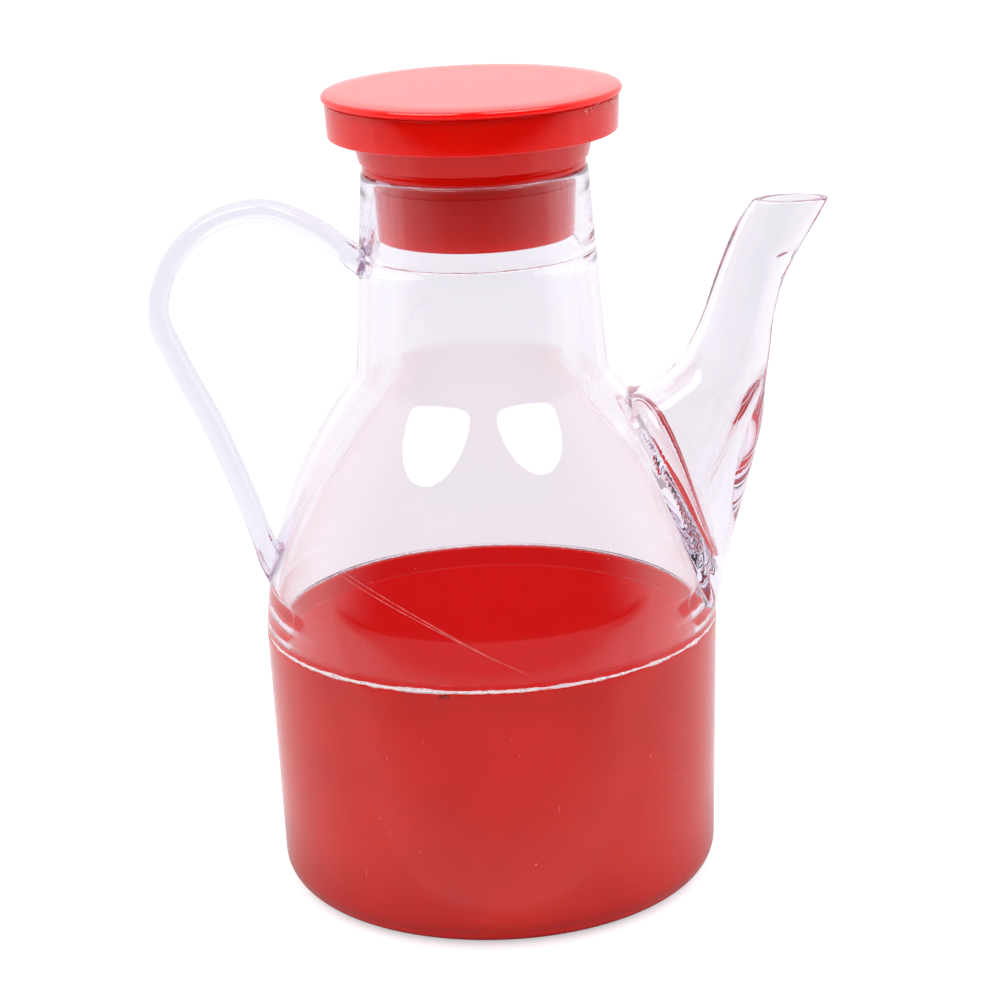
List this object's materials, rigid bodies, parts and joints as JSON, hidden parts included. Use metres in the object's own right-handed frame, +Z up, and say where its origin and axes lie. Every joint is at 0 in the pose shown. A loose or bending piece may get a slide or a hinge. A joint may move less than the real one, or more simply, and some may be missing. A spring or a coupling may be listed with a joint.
{
  "type": "oil pourer",
  "caption": "Clear plastic oil pourer with a red base cup, tapered neck, loop handle, long hollow spout and a red stopper that lifts out of the neck.",
  "frame": {"origin": "centre of the flat base, on the bottle's axis", "axes": "+Z up along the bottle's axis, +X towards the spout, -X towards the handle"},
  "size_m": [0.1353, 0.092, 0.1632],
  "materials": {
    "red_plastic": "glossy opaque injection-moulded plastic, fine scratches",
    "clear_plastic": "clear glossy injection-moulded plastic, thin moulding and bond lines"
  },
  "bodies": {
    "bottle": {"base_cup": "red_plastic", "bell_body": "clear_plastic", "neck_collar": "clear_plastic", "handle": "clear_plastic", "spout": "clear_plastic"},
    "stopper": {"stopper_body": "red_plastic", "stopper_cover": "red_plastic"}
  },
  "joints": [
    {"name": "stopper_lift", "type": "slide", "parent": "bottle", "child": "stopper", "axis": [0, 0, 1], "range_m": [0, 0.06]}
  ]
}
